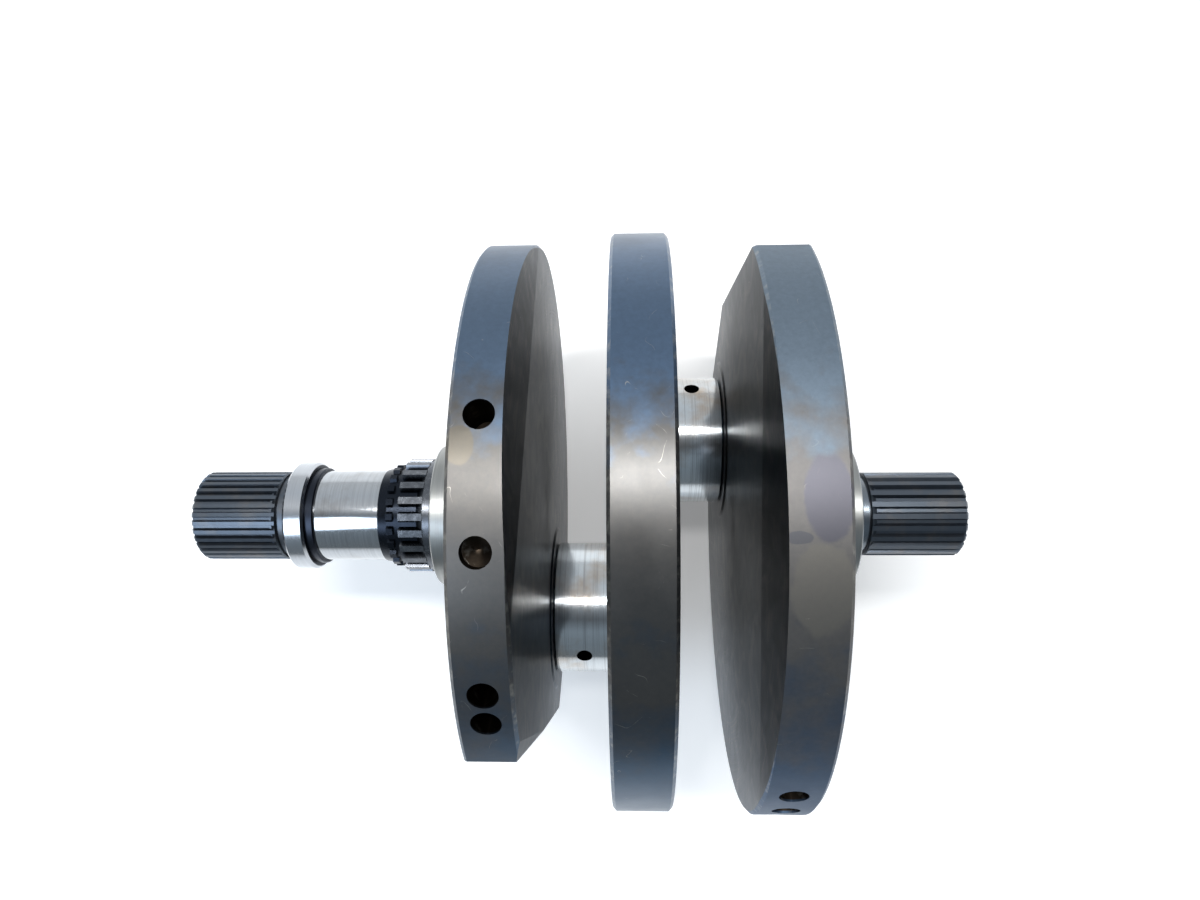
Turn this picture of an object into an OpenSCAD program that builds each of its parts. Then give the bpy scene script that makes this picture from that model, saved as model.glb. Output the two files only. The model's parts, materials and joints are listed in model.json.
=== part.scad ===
// Crankshaft of a large V-twin engine, pressed together from shafts, webs and two offset crankpins.
// X runs along the crank, +X to the output side. The origin is on the crank axis, half way along
// the left main journal. The two crankpins hang below the axis, and angles around the crank are
// counted from +Z towards +Y.

/* [Throw] */
// Crank axis to crankpin axis, half the piston stroke
throw = 56; // [46:0.5:60]
// Angle between the two crankpins
pin_spread = 76; // [60:1:90]
// How far the pair of crankpins is rolled away from straight down, towards -Y
pin_roll = 6.5; // [-20:0.5:20]
// Clear width between two webs for one connecting rod
rod_gap = 24.6; // [18:0.1:32]

/* [Webs] */
// Thickness of the left web
left_web_w = 16.5; // [14:0.1:24]
// Thickness of the right web
right_web_w = 17.6; // [14:0.1:24]
// Thickness of the web between the crankpins
centre_web_w = 18.2; // [17:0.1:28]
// Rim radius of the left web
left_web_r = 95.6; // [94:0.1:118]
// Rim radius of the centre web
centre_web_r = 98.9; // [94:0.1:120]
// Rim radius of the right web
right_web_r = 99.5; // [94:0.1:120]
// Chamfer round each web rim
rim_chamfer = 1; // [0.2:0.1:2]
// Depth of the milled flat on the left web's rim
left_flat_depth = 20.6; // [3:0.1:21]
// Depth of the milled flat on the right web's rim
right_flat_depth = 17.3; // [3:0.1:21]
// Depth at the rim of the milled slope on the left web's inner face
left_slope_depth = 2.2; // [0.5:0.1:4]
// Depth at the rim of the milled slope on the right web's inner face
right_slope_depth = 1.5; // [0.5:0.1:4]
// Width of the left web's milled slope, in from the rim
left_slope_w = 28; // [15:0.5:35]
// Width of the right web's milled slope, in from the rim
right_slope_w = 33; // [15:0.5:35]
// Depth at the rim of the relief beside the flat, on the right web's inner face
right_relief_depth = 2.6; // [0.5:0.1:4]
// Width of that relief, in from the rim
right_relief_w = 14; // [8:0.5:17]

/* [Balance holes] */
// Diameter of the balance holes drilled in the web rims
balance_d = 8.5; // [5:0.1:11]
// Depth of a full balance hole
balance_depth = 16; // [6:0.5:18]
// Depth of the one shallow balance hole
balance_shallow = 4; // [2:0.5:10]

/* [Crankpins] */
// Diameter of the big-end running surface
pin_d = 52; // [46:0.1:62]
// Height of the step from the running surface down to the pin's pressed ends
pin_shoulder = 5; // [2:0.1:7]
// Width of the raised thrust ring round each end of a pin
thrust_ring_w = 6.7; // [3:0.1:8]
// Height of the thrust rings above the web face
thrust_ring_h = 0.6; // [0.5:0.1:3]
// Diameter of the oil chamber through the pin
chamber_d = 22; // [14:0.1:28]
// Chamfer at both ends of the running surface
pin_chamfer = 0.8; // [0.3:0.1:2]
// Length of the cup plugs that close the oil chamber
plug_len = 3.6; // [2:0.1:6]
// How far the cup plugs sit in from the pin's ends
plug_recess = 1; // [0.2:0.1:3]

/* [Main journals] */
// Diameter of both main journals
journal_d = 50; // [42:0.1:60]
// Length of the left main journal
left_journal_len = 21.2; // [16:0.1:32]
// Length of the right main journal
right_journal_len = 22.5; // [16:0.1:32]
// Height of the step from the journals down to the shaft ends pressed into the webs
journal_shoulder = 5; // [2:0.1:8]
// Web thickness left at the bottom of the bore for a shaft end
spigot_floor = 2.5; // [1:0.1:4]

/* [Left shaft] */
// Diameter of the ground seat that carries the sprocket, the seal collar and the primary drive
seat_d = 32.6; // [26:0.1:40]
// Length of bare seat between the sprocket and the seal collar
seat_len = 22.6; // [12:0.1:40]
// Depth of the neck between the seat and the left spline
left_neck_depth = 1.3; // [0.5:0.1:2]
// Length of that neck
left_neck_len = 3.6; // [2:0.1:10]
// Clearance of the left spline's teeth inside the parts that slide over it to the seat
spline_clearance = 0.25; // [0.05:0.05:1]
// Length of the left spline
left_spline_len = 30.2; // [15:0.1:50]
// Number of teeth on the left spline
left_spline_teeth = 32; // [20:1:40]

/* [Right shaft] */
// Depth of the neck between the right main journal and the right spline
right_neck_depth = 1.3; // [0.5:0.1:2]
// Length of that neck
right_neck_len = 5.3; // [2:0.1:12]
// Diameter over the teeth of the right spline
right_spline_d = 29.7; // [25:0.1:36]
// Length of the right spline
right_spline_len = 32.9; // [15:0.1:50]
// Number of teeth on the right spline
right_spline_teeth = 22; // [16:1:36]

/* [Spline teeth] */
// Depth of the spline teeth, tip to root
spline_depth = 1.5; // [0.8:0.1:2]
// Diameter of the tapped hole's wall in each shaft end
end_hole_d = 10.5; // [6:0.1:14]
// Depth of the tapped holes
end_hole_depth = 28; // [10:0.5:40]

/* [Timing sprocket] */
// Wall of the wide row, from its bore to the roots of its teeth
wide_row_wall = 2; // [1:0.1:4]
// Wall of the narrow row, from its bore to the roots of its teeth
narrow_row_wall = 1; // [0.8:0.1:1.8]
// Width of the wide row of teeth
wide_row_w = 5.9; // [3:0.1:10]
// Width of the narrow row of teeth
narrow_row_w = 2.3; // [1.5:0.1:6]
// Width of the groove between the two rows
row_gap = 2.5; // [1.5:0.1:6]
// Width of the plain hub between the wide row and the journal
hub_w = 6; // [3:0.1:12]
// Width of the tapered nose beyond the narrow row
nose_w = 3.4; // [1.5:0.1:8]
// Number of teeth in both rows
sprocket_teeth = 22; // [16:1:30]
// Depth of the wide row's teeth, tip to root
wide_tooth_h = 2.2; // [1:0.1:2.4]
// Depth of the narrow row's teeth, tip to root
narrow_tooth_h = 1.2; // [0.8:0.1:2]

/* [Seal collar] */
// Wall of the seal collar
collar_wall = 3.1; // [2.4:0.1:6]
// Width of the seal collar's sealing face
collar_w = 7.3; // [4:0.1:14]
// Wall of the collar's inner boss
collar_boss_wall = 1.1; // [0.8:0.1:1.5]
// Width of that boss
collar_boss_w = 2.9; // [1:0.1:6]

/* [Oilways] */
// Diameter of the cross holes that feed the journals and pins
oil_hole_d = 6; // [3:0.1:8]
// Diameter of the oil bore along the shaft ends
shaft_bore_d = 12; // [8:0.1:18]
// Diameter of the threaded plug that closes each gallery at the rim
gallery_plug_d = 10; // [8:0.1:12]
// Length of that plug
gallery_plug_len = 8; // [5:0.1:12]
// Width across flats of the plug's hexagon socket
gallery_hex = 5; // [3:0.1:6]

/* [Hidden] */
$fn = 64;

// Radii that follow from the sizes above
pin_r = pin_d / 2;
press_r = pin_r - pin_shoulder;
thrust_ring_r = pin_r + thrust_ring_w;
chamber_r = chamber_d / 2;
journal_r = journal_d / 2;
spigot_r = journal_r - journal_shoulder;
seat_r = seat_d / 2;
left_spline_r = seat_r - spline_clearance;
left_neck_r = seat_r - left_neck_depth;
right_spline_r = right_spline_d / 2;
right_neck_r = right_spline_r - right_neck_depth;
wide_root_r = seat_r + wide_row_wall;
wide_row_r = wide_root_r + wide_tooth_h;
narrow_root_r = seat_r + narrow_row_wall;
narrow_row_r = narrow_root_r + narrow_tooth_h;
collar_r = seat_r + collar_wall;
collar_boss_r = seat_r + collar_boss_wall;

// Stations along X, left to right
left_web_x0 = left_journal_len / 2;
left_web_x1 = left_web_x0 + left_web_w;
centre_web_x0 = left_web_x1 + rod_gap;
centre_web_x1 = centre_web_x0 + centre_web_w;
right_web_x0 = centre_web_x1 + rod_gap;
right_web_x1 = right_web_x0 + right_web_w;
right_journal_x1 = right_web_x1 + right_journal_len;
right_spline_x0 = right_journal_x1 + right_neck_len;
right_end_x = right_spline_x0 + right_spline_len;
hub_x = -left_journal_len / 2;
wide_row_x1 = hub_x - hub_w;
wide_row_x0 = wide_row_x1 - wide_row_w;
narrow_row_x1 = wide_row_x0 - row_gap;
narrow_row_x0 = narrow_row_x1 - narrow_row_w;
nose_x = narrow_row_x0 - nose_w;
collar_x1 = nose_x - seat_len;
collar_x0 = collar_x1 - collar_boss_w - collar_w;
left_spline_x1 = collar_x0 - left_neck_len;
left_end_x = left_spline_x1 - left_spline_len;
left_web_mid = (left_web_x0 + left_web_x1) / 2;
right_web_mid = (right_web_x0 + right_web_x1) / 2;
left_spigot_x = left_web_x1 - spigot_floor;
right_spigot_x = right_web_x0 + spigot_floor;

// Directions of the crankpins, from straight down towards +Y
right_pin_dir = pin_spread / 2 - pin_roll;
left_pin_dir = -pin_spread / 2 - pin_roll;

// Angles round the rim, from +Z towards +Y
left_balance_holes = [18, -27.3, -33.3];
left_shallow_hole = -3.4;
right_balance_holes = [-50.8, -60, -68.1];
left_flat_dir = -82;
right_flat_dir = 90;
left_slope_dir = 29;
right_slope_dir = -7;
right_relief_dir = 120;
left_bevel_dir = -76;
left_bevel_depth = 5.5;
left_spline_dir = 3;
right_spline_dir = -1.3;

// Oil outlets of the crankpins, from +Z towards +Y
left_outlet_dir = -38;
right_outlet_dir = 50;

// Shares and small allowances
end_chamfer = 0.8;
edge_break = 0.4;
runout = 2.5;
drill_point = 0.3;
tip_share = 0.42;
root_share = 0.3;
plug_seat_gap = 0.2;
cut = 1;

// Turns what is drawn along +Z to an angle counted from +Z towards +Y
module facing(angle) {
    rotate([-angle, 0, 0]) children();
}

// Moves what is drawn on the crank axis to a crankpin at an angle from straight down towards +Y
module at_pin(dir) {
    rotate([dir, 0, 0]) translate([0, 0, -throw]) children();
}

// Solid of revolution about X from [radius, x] points
module turned(points) {
    rotate([0, 90, 0]) rotate_extrude($fn = 128) polygon(points);
}

// Plain round bar along X
module bar(x0, x1, r) {
    translate([x0, 0, 0]) rotate([0, 90, 0]) cylinder(h = x1 - x0, r = r);
}

// Full disc of a web with a chamfer round both edges of its rim
module web_disc(x0, x1, r) {
    c = rim_chamfer;
    turned([[0, x0], [r - c, x0], [r, x0 + c], [r, x1 - c], [r - c, x1], [0, x1]]);
}

// Hole drilled towards the axis from z_top, with the cone of the drill's point at its bottom
module drilled_from(z_top, depth, d) {
    translate([0, 0, z_top - depth]) cylinder(h = depth + cut, d = d);
    translate([0, 0, z_top - depth - drill_point * d]) cylinder(h = drill_point * d, d1 = 0, d2 = d);
}

// Outline of a toothed wheel: straight-sided teeth between a root and a tip radius
module toothed(teeth, r_root, r_tip) {
    pitch = 360 / teeth;
    polygon([
        for (i = [0:teeth - 1])
            for (p = [[-0.5 + root_share / 2, r_root], [-tip_share / 2, r_tip],
                      [tip_share / 2, r_tip], [0.5 - root_share / 2, r_root]])
                let (a = (i + p[0]) * pitch) p[1] * [cos(a), sin(a)]
    ]);
}

// Toothed bar along X with a tooth facing the angle dir
module toothed_bar(x0, x1, teeth, r_root, r_tip, dir) {
    facing(dir) translate([x1, 0, 0]) rotate([0, -90, 0])
        linear_extrude(height = x1 - x0) toothed(teeth, r_root, r_tip);
}

// Wedge that slopes a web face away towards the rim, w wide and as deep as depth at the rim
module face_slope(face_x, into, angle, rim_r, w, depth) {
    facing(angle) rotate([90, 0, 0])
        linear_extrude(height = 2 * rim_r, center = true)
            polygon([
                [face_x, rim_r - w],
                [face_x + into * depth * (1 + cut / w), rim_r + cut],
                [face_x - into * cut, rim_r + cut],
                [face_x - into * cut, rim_r - w]
            ]);
}

// Block that mills a flat of the given depth on a web's rim
module rim_flat(x0, x1, angle, rim_r, depth) {
    facing(angle) translate([x0 - cut, -rim_r, rim_r - depth])
        cube([x1 - x0 + 2 * cut, 2 * rim_r, depth + cut]);
}

// Raised thrust ring standing off a web face, towards +X for out = 1 and -X for out = -1
module thrust_ring(face_x, out) {
    top_r = thrust_ring_r - 2 * thrust_ring_h;
    translate([face_x, 0, 0]) turned([
        [0, -out * cut], [thrust_ring_r, -out * cut], [thrust_ring_r, 0],
        [top_r, out * thrust_ring_h], [0, out * thrust_ring_h]
    ]);
}

// Bore for a pin's pressed end through a web and its thrust ring
module pin_bore(x0, x1) {
    bar(x0 - thrust_ring_h - cut, x1 + thrust_ring_h + cut, press_r);
}

// Gallery from the rim through the pin's bore to the shaft's bore, with the seat of its plug
module gallery(web_x, rim_r, dir) {
    rotate([dir, 0, 0]) translate([web_x, 0, 0]) mirror([0, 0, 1]) {
        cylinder(h = rim_r + cut, d = oil_hole_d);
        translate([0, 0, rim_r - gallery_plug_len - plug_seat_gap])
            cylinder(h = gallery_plug_len + plug_seat_gap + cut, d = gallery_plug_d);
    }
}

// Socket screw plug that closes a gallery, flush with the rim
module gallery_plug(web_x, rim_r, dir) {
    rotate([dir, 0, 0]) translate([web_x, 0, 0]) mirror([0, 0, 1])
        translate([0, 0, rim_r - gallery_plug_len - plug_seat_gap]) difference() {
            cylinder(h = gallery_plug_len, d = gallery_plug_d);
            translate([0, 0, gallery_plug_len / 2])
                cylinder(h = gallery_plug_len, d = gallery_hex / cos(30), $fn = 6);
        }
}

// Cup plug pressed into a pin's oil chamber, open towards +X for open = 1
module cup_plug(x0, dir, open) {
    wall = plug_len / 3;
    at_pin(dir) difference() {
        bar(x0, x0 + plug_len, chamber_r);
        bar(open > 0 ? x0 + wall : x0 - cut, open > 0 ? x0 + plug_len + cut : x0 + plug_len - wall,
            chamber_r - wall);
    }
}

// Crankpin: running surface between two pressed ends, oil chamber, gallery hole and outlet
module crankpin(x0, x1, press0, press1, dir, outlet_dir, feed_x) {
    c = min(pin_chamfer, pin_shoulder);
    at_pin(dir) difference() {
        turned([
            [0, press0], [press_r, press0], [press_r, x0], [pin_r - c, x0], [pin_r, x0 + c],
            [pin_r, x1 - c], [pin_r - c, x1], [press_r, x1], [press_r, press1], [0, press1]
        ]);
        bar(press0 - cut, press1 + cut, chamber_r);
        translate([feed_x, 0, 0]) cylinder(h = pin_r, d = oil_hole_d);
        rotate([-dir - outlet_dir, 0, 0]) translate([(x0 + x1) / 2, 0, 0])
            cylinder(h = pin_r + cut, d = oil_hole_d);
    }
}

module left_web() {
    color("dimgray") difference() {
        union() {
            web_disc(left_web_x0, left_web_x1, left_web_r);
            at_pin(left_pin_dir) thrust_ring(left_web_x1, 1);
        }
        bar(left_web_x0 - cut, left_spigot_x, spigot_r);
        at_pin(left_pin_dir) pin_bore(left_web_x0, left_web_x1);
        gallery(left_web_mid, left_web_r, left_pin_dir);
        rim_flat(left_web_x0, left_web_x1, left_flat_dir, left_web_r, left_flat_depth);
        face_slope(left_web_x1, -1, left_slope_dir, left_web_r, left_slope_w, left_slope_depth);
        face_slope(left_web_x1, -1, left_bevel_dir, left_web_r, left_flat_depth, left_bevel_depth);
        for (a = left_balance_holes)
            facing(a) translate([left_web_mid, 0, 0])
                drilled_from(left_web_r, balance_depth, balance_d);
        facing(left_shallow_hole) translate([left_web_mid, 0, 0])
            drilled_from(left_web_r, balance_shallow, balance_d);
    }
}

module centre_web() {
    color("slategray") difference() {
        union() {
            web_disc(centre_web_x0, centre_web_x1, centre_web_r);
            at_pin(left_pin_dir) thrust_ring(centre_web_x0, -1);
            at_pin(right_pin_dir) thrust_ring(centre_web_x1, 1);
        }
        at_pin(left_pin_dir) pin_bore(centre_web_x0, centre_web_x1);
        at_pin(right_pin_dir) pin_bore(centre_web_x0, centre_web_x1);
    }
}

module right_web() {
    color("dimgray") difference() {
        union() {
            web_disc(right_web_x0, right_web_x1, right_web_r);
            at_pin(right_pin_dir) thrust_ring(right_web_x0, -1);
        }
        bar(right_spigot_x, right_web_x1 + cut, spigot_r);
        at_pin(right_pin_dir) pin_bore(right_web_x0, right_web_x1);
        gallery(right_web_mid, right_web_r, right_pin_dir);
        rim_flat(right_web_x0, right_web_x1, right_flat_dir, right_web_r, right_flat_depth);
        face_slope(right_web_x0, 1, right_slope_dir, right_web_r, right_slope_w, right_slope_depth);
        face_slope(right_web_x0, 1, right_relief_dir, right_web_r, right_relief_w, right_relief_depth);
        for (a = right_balance_holes)
            facing(a) translate([right_web_mid, 0, 0])
                drilled_from(right_web_r, balance_depth, balance_d);
    }
}

module left_crankpin() {
    color("silver") crankpin(
        left_web_x1 + thrust_ring_h, centre_web_x0 - thrust_ring_h, left_web_x0, centre_web_x1,
        left_pin_dir, left_outlet_dir, left_web_mid);
}

module right_crankpin() {
    color("silver") crankpin(
        centre_web_x1 + thrust_ring_h, right_web_x0 - thrust_ring_h, centre_web_x0, right_web_x1,
        right_pin_dir, right_outlet_dir, right_web_mid);
}

// Bore along X with a countersunk mouth and a drill point at its blind end
module blind_bore(mouth_x, depth, d, into) {
    r = d / 2;
    translate([mouth_x, 0, 0]) turned([
        [0, -into * cut], [r + end_chamfer + cut, -into * cut], [r, into * end_chamfer],
        [r, into * depth], [0, into * (depth + drill_point * d)]
    ]);
}

// Oil bore of a shaft, the cross hole that feeds its journal and the one that meets the gallery
module shaft_oilways(spigot_x, journal_x, web_x, into, pin_dir) {
    blind_bore(spigot_x, abs(journal_x - spigot_x) + oil_hole_d / 2, shaft_bore_d, into);
    translate([journal_x, 0, 0]) mirror([0, 0, 1]) cylinder(h = journal_r + cut, d = oil_hole_d);
    rotate([pin_dir, 0, 0]) translate([web_x, 0, 0]) mirror([0, 0, 1])
        cylinder(h = spigot_r + cut, d = oil_hole_d);
}

// Splined end from its chamfered tip at x_end to x_out, where the grooves run out
module spline(x_end, x_out, teeth, tip_r, dir) {
    root_r = tip_r - spline_depth;
    into = x_out > x_end ? 1 : -1;
    intersection() {
        union() {
            toothed_bar(min(x_end, x_out), max(x_end, x_out), teeth, root_r, tip_r, dir);
            turned([
                [0, x_out - into * runout], [root_r, x_out - into * runout],
                [tip_r, x_out - into * edge_break], [tip_r, x_out], [0, x_out]
            ]);
        }
        turned([
            [0, x_end], [tip_r - end_chamfer, x_end], [tip_r, x_end + into * end_chamfer],
            [tip_r, x_out - into * edge_break], [tip_r - edge_break, x_out], [0, x_out]
        ]);
    }
}

module left_shaft() {
    color("lightsteelblue") difference() {
        union() {
            spline(left_end_x, left_spline_x1, left_spline_teeth, left_spline_r, left_spline_dir);
            turned([
                [0, left_spline_x1 - runout], [left_neck_r, left_spline_x1 - runout],
                [left_neck_r, collar_x0], [seat_r, collar_x0], [seat_r, hub_x],
                [journal_r - edge_break, hub_x], [journal_r, hub_x + edge_break],
                [journal_r, left_web_x0], [spigot_r, left_web_x0],
                [spigot_r, left_spigot_x - edge_break], [spigot_r - edge_break, left_spigot_x],
                [0, left_spigot_x]
            ]);
        }
        blind_bore(left_end_x, end_hole_depth, end_hole_d, 1);
        shaft_oilways(left_spigot_x, 0, left_web_mid, -1, left_pin_dir);
    }
}

module right_shaft() {
    color("lightsteelblue") difference() {
        union() {
            turned([
                [0, right_spigot_x], [spigot_r - edge_break, right_spigot_x],
                [spigot_r, right_spigot_x + edge_break], [spigot_r, right_web_x1],
                [journal_r, right_web_x1], [journal_r, right_journal_x1 - edge_break],
                [journal_r - edge_break, right_journal_x1], [right_neck_r, right_journal_x1],
                [right_neck_r, right_spline_x0 + runout], [0, right_spline_x0 + runout]
            ]);
            spline(right_end_x, right_spline_x0, right_spline_teeth, right_spline_r, right_spline_dir);
        }
        blind_bore(right_end_x, end_hole_depth, end_hole_d, -1);
        shaft_oilways(right_spigot_x, right_web_x1 + right_journal_len / 2, right_web_mid, 1,
            right_pin_dir);
    }
}

// Sprocket with a wide and a narrow row of teeth, on the seat against the left main journal
module timing_sprocket() {
    hub_r = wide_row_r - edge_break;
    color("darkslategray") difference() {
        union() {
            toothed_bar(wide_row_x0, wide_row_x1 + runout, sprocket_teeth, wide_root_r, wide_row_r, 0);
            toothed_bar(narrow_row_x0, narrow_row_x1, sprocket_teeth, narrow_root_r, narrow_row_r, 0);
            turned([
                [0, nose_x], [seat_r + edge_break, nose_x], [narrow_root_r, narrow_row_x0],
                [narrow_root_r, wide_row_x0], [wide_root_r, wide_row_x0], [wide_root_r, wide_row_x1],
                [hub_r, wide_row_x1 + runout], [hub_r, hub_x], [0, hub_x]
            ]);
        }
        bar(nose_x - cut, hub_x + cut, seat_r);
    }
}

// Collar that the left oil seal runs on, with a narrower boss towards the sprocket
module seal_collar() {
    boss_x = collar_x1 - collar_boss_w;
    color("slategray") turned([
        [seat_r, collar_x0], [collar_r - end_chamfer, collar_x0], [collar_r, collar_x0 + end_chamfer],
        [collar_r, boss_x - end_chamfer], [collar_r - end_chamfer, boss_x], [collar_boss_r, boss_x],
        [collar_boss_r, collar_x1 - edge_break], [collar_boss_r - edge_break, collar_x1],
        [seat_r, collar_x1]
    ]);
}

module left_pin_outer_plug() {
    color("gainsboro") cup_plug(left_web_x0 + plug_recess, left_pin_dir, -1);
}

module left_pin_inner_plug() {
    color("gainsboro") cup_plug(centre_web_x1 - plug_recess - plug_len, left_pin_dir, 1);
}

module right_pin_outer_plug() {
    color("gainsboro") cup_plug(right_web_x1 - plug_recess - plug_len, right_pin_dir, 1);
}

module right_pin_inner_plug() {
    color("gainsboro") cup_plug(centre_web_x0 + plug_recess, right_pin_dir, -1);
}

module left_gallery_plug() {
    color("dimgray") gallery_plug(left_web_mid, left_web_r, left_pin_dir);
}

module right_gallery_plug() {
    color("dimgray") gallery_plug(right_web_mid, right_web_r, right_pin_dir);
}

left_shaft();
seal_collar();
timing_sprocket();
left_web();
left_crankpin();
centre_web();
right_crankpin();
right_web();
right_shaft();
left_pin_outer_plug();
left_pin_inner_plug();
right_pin_outer_plug();
right_pin_inner_plug();
left_gallery_plug();
right_gallery_plug();
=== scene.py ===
"""Looks for the pressed-up V-twin crankshaft: steel finishes, pale floor, soft studio light."""

import json
import math

import bpy
import mathutils
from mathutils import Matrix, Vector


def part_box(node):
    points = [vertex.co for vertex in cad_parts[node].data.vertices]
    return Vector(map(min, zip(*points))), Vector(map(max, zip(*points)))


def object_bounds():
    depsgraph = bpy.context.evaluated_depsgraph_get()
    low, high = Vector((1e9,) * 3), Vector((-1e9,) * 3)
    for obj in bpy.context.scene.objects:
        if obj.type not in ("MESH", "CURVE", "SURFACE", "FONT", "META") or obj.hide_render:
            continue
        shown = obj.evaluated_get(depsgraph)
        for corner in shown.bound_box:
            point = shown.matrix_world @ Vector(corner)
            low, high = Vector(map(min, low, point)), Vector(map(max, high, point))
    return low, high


MM = 0.001
MICRON = 1e-6

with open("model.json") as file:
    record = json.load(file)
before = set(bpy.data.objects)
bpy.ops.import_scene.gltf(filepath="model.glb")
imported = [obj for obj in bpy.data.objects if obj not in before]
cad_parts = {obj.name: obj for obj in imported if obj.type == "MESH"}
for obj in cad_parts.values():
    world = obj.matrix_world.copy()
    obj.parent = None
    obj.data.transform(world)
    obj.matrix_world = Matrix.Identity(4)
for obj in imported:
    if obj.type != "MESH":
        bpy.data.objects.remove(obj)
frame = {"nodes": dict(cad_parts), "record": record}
cad_low, cad_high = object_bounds()


# ---- helpers ----

def linear(code):
    """Linear RGBA of an sRGB hex colour."""
    shares = [int(code[i:i + 2], 16) / 255 for i in (0, 2, 4)]
    return tuple(s / 12.92 if s <= 0.04045 else ((s + 0.055) / 1.055) ** 2.4 for s in shares) + (1.0,)


def add(tree, kind, inputs=None, stops=None, **settings):
    """Adds a node: settings are its properties, inputs its sockets by name or number, each a value or
    another node's output, and stops the (place, colour) pairs of a ramp."""
    made = tree.nodes.new(kind)
    for name, value in settings.items():
        setattr(made, name, value)
    for name, value in (inputs or {}).items():
        if isinstance(value, bpy.types.NodeSocket):
            tree.links.new(value, made.inputs[name])
        else:
            made.inputs[name].default_value = value
    for number, (place, tone) in enumerate(stops or []):
        ramp = made.color_ramp.elements
        stop = ramp[number] if number < 2 else ramp.new(place)
        stop.position = place
        stop.color = linear(tone)
    return made


def axis_of(name):
    """Y and Z of the middle of a node's box, which for a turned part is its axis."""
    low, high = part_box(name)
    return (low.y + high.y) / 2, (low.z + high.z) / 2


def start_of(name):
    """The left end of a node along X, in millimetres."""
    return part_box(name)[0].x / MM


def new_finish(name):
    """A named material and its tree, with the surface's place in millimetres and its normal."""
    finish = bpy.data.materials.new(name)
    finish.use_nodes = True
    tree = finish.node_tree
    where = add(tree, "ShaderNodeTexCoord").outputs
    place = add(tree, "ShaderNodeMapping", {0: where["Object"], "Scale": (1 / MM, 1 / MM, 1 / MM)})
    return finish, tree, place.outputs[0], where["Normal"]


def around(tree, place, centre):
    """The spoke from a line along X through centre (y, z in metres) to the surface, its length in
    millimetres, and the direction round that line, which is how a turned surface is cut."""
    off = add(tree, "ShaderNodeVectorMath", {0: place, 1: (0, -centre[0] / MM, -centre[1] / MM)})
    spoke = add(tree, "ShaderNodeVectorMath", {0: off.outputs[0], 1: (0, 1, 1)}, operation="MULTIPLY")
    length = add(tree, "ShaderNodeVectorMath", {0: spoke.outputs[0]}, operation="LENGTH")
    way = add(tree, "ShaderNodeVectorMath", {0: (1, 0, 0), 1: spoke.outputs[0]},
              operation="CROSS_PRODUCT")
    lay = add(tree, "ShaderNodeVectorMath", {0: way.outputs[0]}, operation="NORMALIZE")
    return spoke.outputs[0], length.outputs["Value"], lay.outputs[0]


def cut_marks(tree, place, across, along, detail):
    """Tool or wheel marks on a turned surface, from 0 to 1: streaks that change in across millimetres
    along X and only in along millimetres round it. A real feed is 0.1 to 0.2 mm, too fine to show, so
    across is about 0.5 mm."""
    grain = add(tree, "ShaderNodeMapping", {0: place, "Scale": (1 / across, 1 / along, 1 / along)})
    return add(tree, "ShaderNodeTexNoise", {0: grain.outputs[0], "Scale": 1.0,
                                            "Detail": detail}).outputs[0]


def zone(tree, value, low, high, soft):
    """1 where value lies between low and high, fading to 0 over soft on each side."""
    rise = add(tree, "ShaderNodeMapRange", {0: value, 1: low - soft, 2: low + soft},
               interpolation_type="SMOOTHSTEP")
    fall = add(tree, "ShaderNodeMapRange", {0: value, 1: high - soft, 2: high + soft, 3: 1.0, 4: 0.0},
               interpolation_type="SMOOTHSTEP")
    return add(tree, "ShaderNodeMath", {0: rise.outputs[0], 1: fall.outputs[0]},
               operation="MULTIPLY").outputs[0]


def finish_surface(tree, colour, roughness, height, depth, lay=None, anisotropy=0.0):
    """Joins colour, roughness and relief to the shader of a metal. depth is the relief's real height in
    micrometres, and lay the direction it was cut in."""
    shader = tree.nodes["Principled BSDF"]
    relief = add(tree, "ShaderNodeBump", {"Height": height, "Distance": depth * MICRON, "Strength": 1.0})
    tree.links.new(colour, shader.inputs["Base Color"])
    tree.links.new(roughness, shader.inputs["Roughness"])
    tree.links.new(relief.outputs[0], shader.inputs["Normal"])
    shader.inputs["Metallic"].default_value = 1.0
    if lay is not None:
        tree.links.new(lay, shader.inputs["Tangent"])
        shader.inputs["Anisotropic"].default_value = anisotropy


# ---- finishes ----

def patch(tree, place, turn, centre, size):
    """A dried-on patch on a web rim: 1 inside an ellipse in millimetres along X and degrees round the
    crank, with an edge that wanders by a fifth of its size, 0 outside."""
    ragged, lump = 0.2, 5.0
    along = add(tree, "ShaderNodeSeparateXYZ", {0: place}).outputs["X"]
    shares = [add(tree, "ShaderNodeMapRange", {0: value, 1: middle - half, 2: middle + half,
                                               3: -1.0, 4: 1.0}, clamp=False).outputs[0]
              for value, middle, half in zip((along, turn), centre, size)]
    spot = add(tree, "ShaderNodeCombineXYZ", {0: shares[0], 1: shares[1]}).outputs[0]
    out = add(tree, "ShaderNodeVectorMath", {0: spot}, operation="LENGTH").outputs["Value"]
    uneven = add(tree, "ShaderNodeTexNoise", {0: place, "Scale": 1 / lump, "Detail": 4.0,
                                              "Roughness": 0.6}).outputs[0]
    wander = add(tree, "ShaderNodeMapRange", {0: uneven, 3: -ragged, 4: ragged}).outputs[0]
    edge = add(tree, "ShaderNodeMath", {0: out, 1: wander}, operation="ADD").outputs[0]
    return add(tree, "ShaderNodeMapRange", {0: edge, 1: 1.08, 2: 0.92},
               interpolation_type="SMOOTHSTEP").outputs[0]


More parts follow.
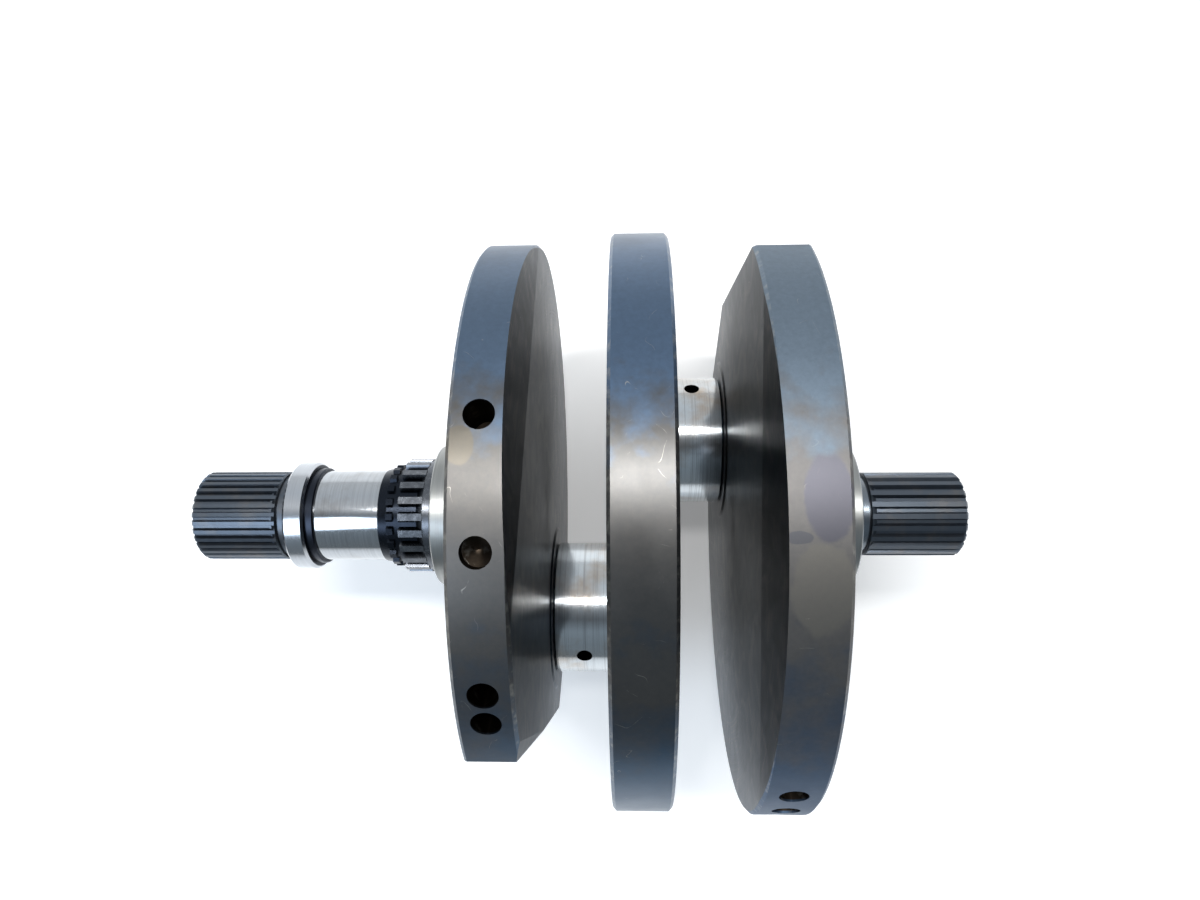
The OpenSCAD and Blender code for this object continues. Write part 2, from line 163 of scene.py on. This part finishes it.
def web_finish(name, web, pin_axis, painted_light_tones, sheen, patches):
    """Forged steel, turned on the rim and faces and left with a thin film of dried oil, which shows as
    small flecks and dried patches. The rim is satin, and its colour round the crank is painted light
    between the tones top, middle and low: top is a painted reflection of the bright +Y side, and low is
    painted shade towards -Y; the faces keep ring marks about the crankpin; the corners are worn bright.
    patches are (centre, size, colour, roughness) of dried spots on the rim."""
    top, middle, low = painted_light_tones
    film_size, fleck_size, swirl_size = 16.0, 1.6, 100 / 7
    finish, tree, place, normal = new_finish(name)
    spoke, reach, lay = around(tree, place, (0, 0))
    part = add(tree, "ShaderNodeSeparateXYZ", {0: spoke}).outputs
    turn = add(tree, "ShaderNodeMath", {0: part["Y"], 1: part["Z"]}, operation="ARCTAN2").outputs[0]
    degrees = add(tree, "ShaderNodeMath", {0: turn, 1: math.degrees(1.0)},
                  operation="MULTIPLY").outputs[0]
    facing = add(tree, "ShaderNodeSeparateXYZ", {0: normal}).outputs["X"]
    flatness = add(tree, "ShaderNodeMath", {0: facing}, operation="ABSOLUTE").outputs[0]
    side = add(tree, "ShaderNodeMapRange", {0: flatness, 1: 0.75, 2: 0.97}).outputs[0]
    corner = zone(tree, flatness, 0.45, 0.85, 0.15)

    # The rim's colour is painted light round the crank: a painted reflection of the bright +Y side in
    # the top tone and painted shade towards -Y in the low tone, with a wandering edge, and small flecks
    # of dark film on top
    blotch = add(tree, "ShaderNodeTexNoise", {0: place, "Scale": 1 / film_size, "Detail": 4.0,
                                              "Roughness": 0.6}).outputs[0]
    fleck = add(tree, "ShaderNodeTexNoise", {0: place, "Scale": 1 / fleck_size, "Detail": 6.0,
                                             "Roughness": 0.7}).outputs[0]
    wander = add(tree, "ShaderNodeMapRange", {0: blotch, 3: -26.0, 4: 26.0}).outputs[0]
    shifted = add(tree, "ShaderNodeMath", {0: degrees, 1: wander}, operation="ADD").outputs[0]
    share = add(tree, "ShaderNodeMapRange", {0: shifted, 1: -180.0, 2: 180.0}).outputs[0]
    film_and_painted_light = add(tree, "ShaderNodeValToRGB", {0: share}, stops=[
        (0.0, middle), (0.2, low), (0.38, low), (0.45, middle), (0.53, middle), (0.57, top),
        (0.66, top), (0.8, middle), (1.0, middle)]).outputs[0]
    flecked = add(tree, "ShaderNodeMapRange", {0: fleck, 3: 0.0, 4: 0.45}).outputs[0]
    film_and_painted_light = add(tree, "ShaderNodeMix", {0: flecked, 6: film_and_painted_light, 7: linear("3c4046")},
               data_type="RGBA").outputs[2]

    # Faces: rings cut about the pin's axis, darker and finer than the rim. A real feed is about 0.2 mm;
    # the rings are drawn 0.7 mm apart, so that they show
    ring_gap = 5 / 7
    off, pin_reach, _ = around(tree, place, pin_axis)
    rings = add(tree, "ShaderNodeTexNoise", {"W": pin_reach, "Scale": 1 / ring_gap, "Detail": 4.0},
                noise_dimensions="1D").outputs[0]
    swirl = add(tree, "ShaderNodeTexNoise", {0: off, "Scale": 1 / swirl_size, "Detail": 3.0,
                                             "Distortion": 1.5}).outputs[0]
    cut = add(tree, "ShaderNodeMath", {0: rings, 1: swirl}, operation="MULTIPLY").outputs[0]
    machined = add(tree, "ShaderNodeValToRGB", {0: cut}, stops=[
        (0.14, "20252c"), (0.27, "3e444c"), (0.4, "6c6864")]).outputs[0]
    colour = add(tree, "ShaderNodeMix", {0: side, 6: film_and_painted_light, 7: machined}, data_type="RGBA").outputs[2]

    # Balance holes: drilled walls below the rim, in the middle of the web, painted dark brown and
    # mottled as the shade inside the holes
    web_low, web_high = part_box(web)
    middle_x, rim_reach = (web_low.x + web_high.x) / 2 / MM, web_high.z / MM
    along = add(tree, "ShaderNodeSeparateXYZ", {0: place}).outputs["X"]
    inside = add(tree, "ShaderNodeMapRange", {0: reach, 1: rim_reach - 0.4,
                                              2: rim_reach - 0.8}).outputs[0]
    band = zone(tree, along, middle_x - 4.6, middle_x + 4.6, 0.3)
    drilled = add(tree, "ShaderNodeMath", {0: band, 1: inside}, operation="MULTIPLY").outputs[0]
    painted_hole_shade = add(tree, "ShaderNodeMix", {0: fleck, 6: linear("1b1815"), 7: linear("3f362d")},
               data_type="RGBA").outputs[2]
    colour = add(tree, "ShaderNodeMix", {0: drilled, 6: colour, 7: painted_hole_shade}, data_type="RGBA").outputs[2]

    # Roughness and relief before the patches and the worn corners go on
    marks = cut_marks(tree, place, 0.5, 30.0, 3.0)
    rim_gloss = add(tree, "ShaderNodeMapRange", {0: blotch, 3: sheen, 4: sheen + 0.16}).outputs[0]
    face_gloss = add(tree, "ShaderNodeMapRange", {0: rings, 3: 0.3, 4: 0.46}).outputs[0]
    roughness = add(tree, "ShaderNodeMix", {0: side, 2: rim_gloss, 3: face_gloss}).outputs[0]
    height = add(tree, "ShaderNodeMix", {0: side, 2: marks, 3: rings}).outputs[0]
    rim_only = add(tree, "ShaderNodeMath", {0: 1.0, 1: side}, operation="SUBTRACT").outputs[0]
    mottle = add(tree, "ShaderNodeMapRange", {0: fleck, 3: 0.0, 4: 0.3}).outputs[0]
    for centre, size, tone, gloss in patches:
        spot = patch(tree, place, degrees, centre, size)
        here = add(tree, "ShaderNodeMath", {0: spot, 1: rim_only}, operation="MULTIPLY").outputs[0]
        mottled = add(tree, "ShaderNodeMix", {0: mottle, 6: linear(tone), 7: linear("4a4b50")},
                      data_type="RGBA").outputs[2]
        colour = add(tree, "ShaderNodeMix", {0: here, 6: colour, 7: mottled},
                     data_type="RGBA").outputs[2]
        roughness = add(tree, "ShaderNodeMix", {0: here, 2: roughness, 3: gloss}).outputs[0]

    # Handling scratches and worn corners show bare bright steel, broken up so that no line is even.
    # Real ones are too fine to show from here, so they are drawn wider
    scratch_size, gap_size, chip_size = 100 / 9, 7.0, 3.0
    hair = add(tree, "ShaderNodeTexNoise", {0: place, "Scale": 1 / scratch_size, "Detail": 1.0,
                                            "Distortion": 0.6}).outputs[0]
    line = zone(tree, hair, 0.4985, 0.5015, 0.0012)
    broken = add(tree, "ShaderNodeTexNoise", {0: place, "Scale": 1 / gap_size, "Detail": 4.0,
                                              "Roughness": 0.6}).outputs[0]
    gaps = add(tree, "ShaderNodeMapRange", {0: broken, 1: 0.56, 2: 0.66}).outputs[0]
    scratch = add(tree, "ShaderNodeMath", {0: line, 1: gaps}, operation="MULTIPLY").outputs[0]
    chipped = add(tree, "ShaderNodeTexNoise", {0: place, "Scale": 1 / chip_size, "Detail": 4.0,
                                               "Roughness": 0.6}).outputs[0]
    chips = add(tree, "ShaderNodeMapRange", {0: chipped, 1: 0.5, 2: 0.7, 4: 0.6}).outputs[0]
    worn = add(tree, "ShaderNodeMath", {0: corner, 1: chips}, operation="MULTIPLY").outputs[0]
    bare = add(tree, "ShaderNodeMath", {0: scratch, 1: worn}, operation="MAXIMUM").outputs[0]
    soft = add(tree, "ShaderNodeMath", {0: bare, 1: 0.6}, operation="MULTIPLY").outputs[0]
    colour = add(tree, "ShaderNodeMix", {0: soft, 6: colour, 7: linear("b4b0a6")},
                 data_type="RGBA").outputs[2]
    finish_surface(tree, colour, roughness, height, 7, lay, 0.35)
    return finish


def pin_finish(name, axis):
    """Hardened steel ground and polished on its running surface: a tight bright line of light, fine
    streaks round it and a faint straw stain of old oil."""
    stain_size = 18.0
    finish, tree, place, _ = new_finish(name)
    lay = around(tree, place, axis)[2]
    streaks = cut_marks(tree, place, 0.5, 60.0, 5.0)
    stain = add(tree, "ShaderNodeTexNoise", {0: place, "Scale": 1 / stain_size, "Detail": 4.0,
                                             "Roughness": 0.6}).outputs[0]
    stained = add(tree, "ShaderNodeMapRange", {0: stain, 1: 0.45, 2: 0.7}).outputs[0]
    tone = add(tree, "ShaderNodeMix", {0: stained, 6: linear("c4c9cc"), 7: linear("b3a698")},
               data_type="RGBA").outputs[2]
    dulled = add(tree, "ShaderNodeMapRange", {0: streaks, 1: 0.5, 2: 0.72, 4: 0.55}).outputs[0]
    colour = add(tree, "ShaderNodeMix", {0: dulled, 6: tone, 7: linear("7d7f80")},
                 data_type="RGBA").outputs[2]
    roughness = add(tree, "ShaderNodeMapRange", {0: streaks, 3: 0.04, 4: 0.2}).outputs[0]
    finish_surface(tree, colour, roughness, streaks, 1.5, lay, 0.5)
    return finish


def shaft_finish(name, stations):
    """Hardened shaft: journals ground to a satin, seats ground bright, splines and necks left dark slate
    from hardening. stations are (from, to, colour, low roughness, high roughness) along X in
    millimetres."""
    stain_size = 9.0
    finish, tree, place, normal = new_finish(name)
    lay = around(tree, place, (0, 0))[2]
    along = add(tree, "ShaderNodeSeparateXYZ", {0: place}).outputs["X"]
    facing = add(tree, "ShaderNodeSeparateXYZ", {0: normal}).outputs["X"]
    flatness = add(tree, "ShaderNodeMath", {0: facing}, operation="ABSOLUTE").outputs[0]
    marks = cut_marks(tree, place, 0.55, 50.0, 4.0)
    dulling = add(tree, "ShaderNodeMapRange", {0: marks, 3: 0.0, 4: 0.5}).outputs[0]
    colour, roughness = linear("8d9195"), 0.3
    for start, end, tone, low, high in stations:
        here = zone(tree, along, start, end, 0.12)
        dulled = add(tree, "ShaderNodeMix", {0: dulling, 6: linear(tone), 7: linear("5a5f64")},
                     data_type="RGBA").outputs[2]
        gloss = add(tree, "ShaderNodeMapRange", {0: marks, 3: low, 4: high}).outputs[0]
        colour = add(tree, "ShaderNodeMix", {0: here, 6: colour, 7: dulled},
                     data_type="RGBA").outputs[2]
        roughness = add(tree, "ShaderNodeMix", {0: here, 2: roughness, 3: gloss}).outputs[0]
    stain = add(tree, "ShaderNodeTexNoise", {0: place, "Scale": 1 / stain_size, "Detail": 4.0,
                                             "Roughness": 0.6}).outputs[0]
    stained = add(tree, "ShaderNodeMapRange", {0: stain, 1: 0.5, 2: 0.75, 4: 0.35}).outputs[0]
    colour = add(tree, "ShaderNodeMix", {0: stained, 6: colour, 7: linear("7c7266")},
                 data_type="RGBA").outputs[2]
    turned_end = add(tree, "ShaderNodeMapRange", {0: flatness, 1: 0.8, 2: 0.97, 4: 0.8}).outputs[0]
    colour = add(tree, "ShaderNodeMix", {0: turned_end, 6: colour, 7: linear("3a3d42")},
                 data_type="RGBA").outputs[2]
    finish_surface(tree, colour, roughness, marks, 3, lay, 0.4)
    return finish


def collar_finish(name):
    """Seal collar: ground bright on its outside, its turned faces and inner boss left nearly black."""
    finish, tree, place, _ = new_finish(name)
    _, reach, lay = around(tree, place, (0, 0))
    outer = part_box("seal_collar")[1].z / MM
    marks = cut_marks(tree, place, 0.5, 40.0, 4.0)
    ground = zone(tree, reach, outer - 0.9, outer + 1.0, 0.25)
    dulling = add(tree, "ShaderNodeMapRange", {0: marks, 3: 0.0, 4: 0.4}).outputs[0]
    bright = add(tree, "ShaderNodeMix", {0: dulling, 6: linear("c2c5c9"), 7: linear("8b8e92")},
                 data_type="RGBA").outputs[2]
    colour = add(tree, "ShaderNodeMix", {0: ground, 6: linear("2c3038"), 7: bright},
                 data_type="RGBA").outputs[2]
    gloss = add(tree, "ShaderNodeMapRange", {0: marks, 3: 0.1, 4: 0.24}).outputs[0]
    roughness = add(tree, "ShaderNodeMix", {0: ground, 2: 0.3, 3: gloss}).outputs[0]
    finish_surface(tree, colour, roughness, marks, 2, lay, 0.4)
    return finish


def gear_finish(name):
    """Hardened gear steel, nearly black with oil, with the tooth crests polished by the chain."""
    blotch_size = 2.5
    finish, tree, place, _ = new_finish(name)
    reach = around(tree, place, (0, 0))[1]
    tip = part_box("timing_sprocket")[1].z / MM
    crest = add(tree, "ShaderNodeMapRange", {0: reach, 1: tip - 1.6, 2: tip + 0.3}).outputs[0]
    blotch = add(tree, "ShaderNodeTexNoise", {0: place, "Scale": 1 / blotch_size, "Detail": 5.0,
                                              "Roughness": 0.7}).outputs[0]
    polish = add(tree, "ShaderNodeMath", {0: crest, 1: blotch}, operation="MULTIPLY").outputs[0]
    colour = add(tree, "ShaderNodeMix", {0: polish, 6: linear("23272e"), 7: linear("9a9da2")},
                 data_type="RGBA").outputs[2]
    roughness = add(tree, "ShaderNodeMapRange", {0: blotch, 3: 0.16, 4: 0.36}).outputs[0]
    finish_surface(tree, colour, roughness, blotch, 20)
    return finish


def small_part_finish(name, tone, dark, low, high):
    """Small pressed or screwed parts: one plain coat with faint mottling."""
    mottle_size = 1.8
    finish, tree, place, _ = new_finish(name)
    mottle = add(tree, "ShaderNodeTexNoise", {0: place, "Scale": 1 / mottle_size, "Detail": 5.0,
                                              "Roughness": 0.6}).outputs[0]
    colour = add(tree, "ShaderNodeMix", {0: mottle, 6: linear(tone), 7: linear(dark)},
                 data_type="RGBA").outputs[2]
    roughness = add(tree, "ShaderNodeMapRange", {0: mottle, 3: low, 4: high}).outputs[0]
    finish_surface(tree, colour, roughness, mottle, 10)
    return finish


def set_finish(finish, *nodes):
    """Gives CAD nodes a finish."""
    for name in nodes:
        for slot in frame["nodes"][name].material_slots:
            slot.material = finish


left_pin, right_pin = axis_of("left_crankpin"), axis_of("right_crankpin")
left_rim, right_rim = start_of("left_web"), start_of("right_web")
left_spots = [((left_rim + 3.4, 13.0), (4.0, 3.2), "645f56", 0.34)]
right_spots = [
    ((right_rim + 10.5, -8.4), (8.0, 6.6), "6f6c66", 0.5),
    ((right_rim + 12.0, 4.6), (6.2, 6.4), "5c5b61", 0.42),
    ((right_rim + 4.6, -1.0), (3.4, 0.9), "5a5a5d", 0.45)]
# Each web's three tones are painted light round its rim: top is a painted reflection of the +Y side,
# middle lies between, low is painted shade towards -Y
set_finish(web_finish("oiled turned forging left", "left_web", left_pin,
                      ("5f7186", "625f5b", "4b5d70"), 0.3, left_spots), "left_web")
set_finish(web_finish("oiled turned forging centre", "centre_web", right_pin,
                      ("5d7189", "5f5d5a", "3f566c"), 0.24, []), "centre_web")
set_finish(web_finish("oiled turned forging right", "right_web", right_pin,
                      ("74828f", "6f6c69", "4a5f78"), 0.38, right_spots), "right_web")
set_finish(pin_finish("polished crankpin steel left", left_pin), "left_crankpin")
set_finish(pin_finish("polished crankpin steel right", right_pin), "right_crankpin")

# Each coat runs on a little under the piece that covers its end, so those ends don't show. The journal
# of the right shaft ends where its mount says; a spline's mount stops equally short of both its ends
under = 3.5
seat_start, seat_end = start_of("seal_collar") + under, start_of("timing_sprocket") + under
left_end, right_end = start_of("left_shaft"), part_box("right_shaft")[1].x / MM
mounts = {mount["name"]: mount for mount in frame["record"]["mounts"]}
journal, spline = [[mounts[name]["pos_m"][0] / MM + side * mounts[name]["dims"]["length_mm"] / 2
                    for side in (-1, 1)] for name in ("right_main_journal", "right_spline")]
neck_end = spline[0] - (right_end - spline[1])
slate, bright, satin = "535a63", "c6c9cc", "a6a6a2"
set_finish(shaft_finish("ground and hardened shaft steel left", [
    (left_end - 1, seat_start, slate, 0.28, 0.42), (seat_start, seat_end, bright, 0.06, 0.16),
    (seat_end, left_rim + under, satin, 0.26, 0.36)]), "left_shaft")
set_finish(shaft_finish("ground and hardened shaft steel right", [
    (right_rim + under, journal[1], satin, 0.26, 0.38), (journal[1], neck_end, "7d858d", 0.2, 0.3),
    (neck_end, right_end + 1, slate, 0.28, 0.42)]), "right_shaft")
set_finish(collar_finish("ground collar steel"), "seal_collar")
set_finish(gear_finish("oil blackened gear steel"), "timing_sprocket")
set_finish(small_part_finish("zinc plated cup plug steel", "a8a8a2", "84857f", 0.25, 0.4),
           "left_pin_outer_plug", "left_pin_inner_plug", "right_pin_outer_plug", "right_pin_inner_plug")
set_finish(small_part_finish("black oxide screw steel", "26272a", "17181a", 0.35, 0.5),
           "left_gallery_plug", "right_gallery_plug")


# ---- floor, light and camera ----

def studio_floor(level):
    """A wide pale table top at the crank's lowest line, with a soft sheen. A faint glow keeps it white
    to the eye and in reflections."""
    reach, glow_strength = 3.0, 0.22
    corners = [(-reach, -reach, level), (reach, -reach, level), (reach, reach, level),
               (-reach, reach, level)]
    mesh = bpy.data.meshes.new("table_top")
    mesh.from_pydata(corners, [], [(0, 1, 2, 3)])
    table = bpy.data.objects.new("table_top", mesh)
    bpy.context.scene.collection.objects.link(table)
    finish = bpy.data.materials.new("pale laminate")
    finish.use_nodes = True
    tree = finish.node_tree
    shader = tree.nodes["Principled BSDF"]
    shader.inputs["Base Color"].default_value = linear("fbfaf8")
    shader.inputs["Roughness"].default_value = 0.4
    rays = add(tree, "ShaderNodeLightPath").outputs
    seen = add(tree, "ShaderNodeMath", {0: rays["Is Camera Ray"], 1: rays["Is Glossy Ray"]},
               operation="MAXIMUM").outputs[0]
    glow = add(tree, "ShaderNodeMath", {0: seen, 1: glow_strength}, operation="MULTIPLY").outputs[0]
    tree.links.new(glow, shader.inputs["Emission Strength"])
    shader.inputs["Emission Color"].default_value = linear("ffffff")
    mesh.materials.append(finish)


def studio_surround():
    """A soft surround: bright from the window side at +Y, dim from -Y, plain white to the eye."""
    world = bpy.data.worlds.new("studio surround")
    bpy.context.scene.world = world
    world.use_nodes = True
    tree = world.node_tree
    tree.nodes.clear()
    towards = add(tree, "ShaderNodeTexCoord").outputs["Generated"]
    part = add(tree, "ShaderNodeSeparateXYZ", {0: towards}).outputs
    turn = add(tree, "ShaderNodeMath", {0: part["Y"], 1: part["Z"]}, operation="ARCTAN2").outputs[0]
    share = add(tree, "ShaderNodeMapRange", {0: turn, 1: -math.pi / 2, 2: math.pi / 2}).outputs[0]
    painted_light_tones = add(tree, "ShaderNodeValToRGB", {0: share}, stops=[
        (0.0, "7f878d"), (0.17, "828d96"), (0.3, "8d99a3"), (0.42, "666c72"), (0.5, "868d94"),
        (0.62, "e2e6ea"), (0.78, "dbe2e9"), (1.0, "e9eef2")]).outputs[0]
    seen = add(tree, "ShaderNodeLightPath").outputs["Is Camera Ray"]
    soft = add(tree, "ShaderNodeBackground", {0: painted_light_tones, 1: 1.0}).outputs[0]
    white = add(tree, "ShaderNodeBackground", {0: linear("ffffff"), 1: 1.0}).outputs[0]
    both = add(tree, "ShaderNodeMixShader", {0: seen, 1: soft, 2: white}).outputs[0]
    add(tree, "ShaderNodeOutputWorld", {0: both})


def softbox(name, centre, towards, width, height, power, colour="ffffff"):
    """A rectangular softbox at centre, facing a point."""
    lamp = bpy.data.lights.new(name, "AREA")
    lamp.shape = "RECTANGLE"
    lamp.size, lamp.size_y, lamp.energy = width, height, power
    lamp.color = linear(colour)[:3]
    box = bpy.data.objects.new(name, lamp)
    bpy.context.scene.collection.objects.link(box)
    box.location = centre
    look = [t - c for t, c in zip(towards, centre)]
    box.rotation_euler = mathutils.Vector(look).to_track_quat("-Z", "Y").to_euler()


def eye():
    """The camera looks straight down on the crank from close above it: its place from the middle of
    the centre web in metres, and its small turns in degrees."""
    back, aside, above = -0.002573, 0.012104, 0.300535
    turns = (2.1577, 2.2581, -0.2314)
    lens = bpy.data.cameras.new("eye")
    lens.lens, lens.sensor_width = 24.704, 36.0
    lens.clip_start, lens.clip_end = 0.01, 50.0
    camera = bpy.data.objects.new("eye", lens)
    bpy.context.scene.collection.objects.link(camera)
    low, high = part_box("centre_web")
    camera.location = ((low.x + high.x) / 2 + back, aside, above)
    camera.rotation_euler = [math.radians(turn) for turn in turns]
    bpy.context.scene.camera = camera


studio_floor(cad_low.z)
studio_surround()
far, tilt = 1.3, math.radians(16)
overhead = (0.05, far * math.sin(tilt), far * math.cos(tilt))
softbox("overhead softbox", overhead, (0.05, 0, 0), 0.9, 0.13, 13.0)
softbox("side softbox", (-0.45, -0.35, 0.8), (-0.05, 0, 0), 0.35, 0.6, 4.0, "dcecff")
eye()

bpy.context.scene.view_settings.view_transform = "Standard"
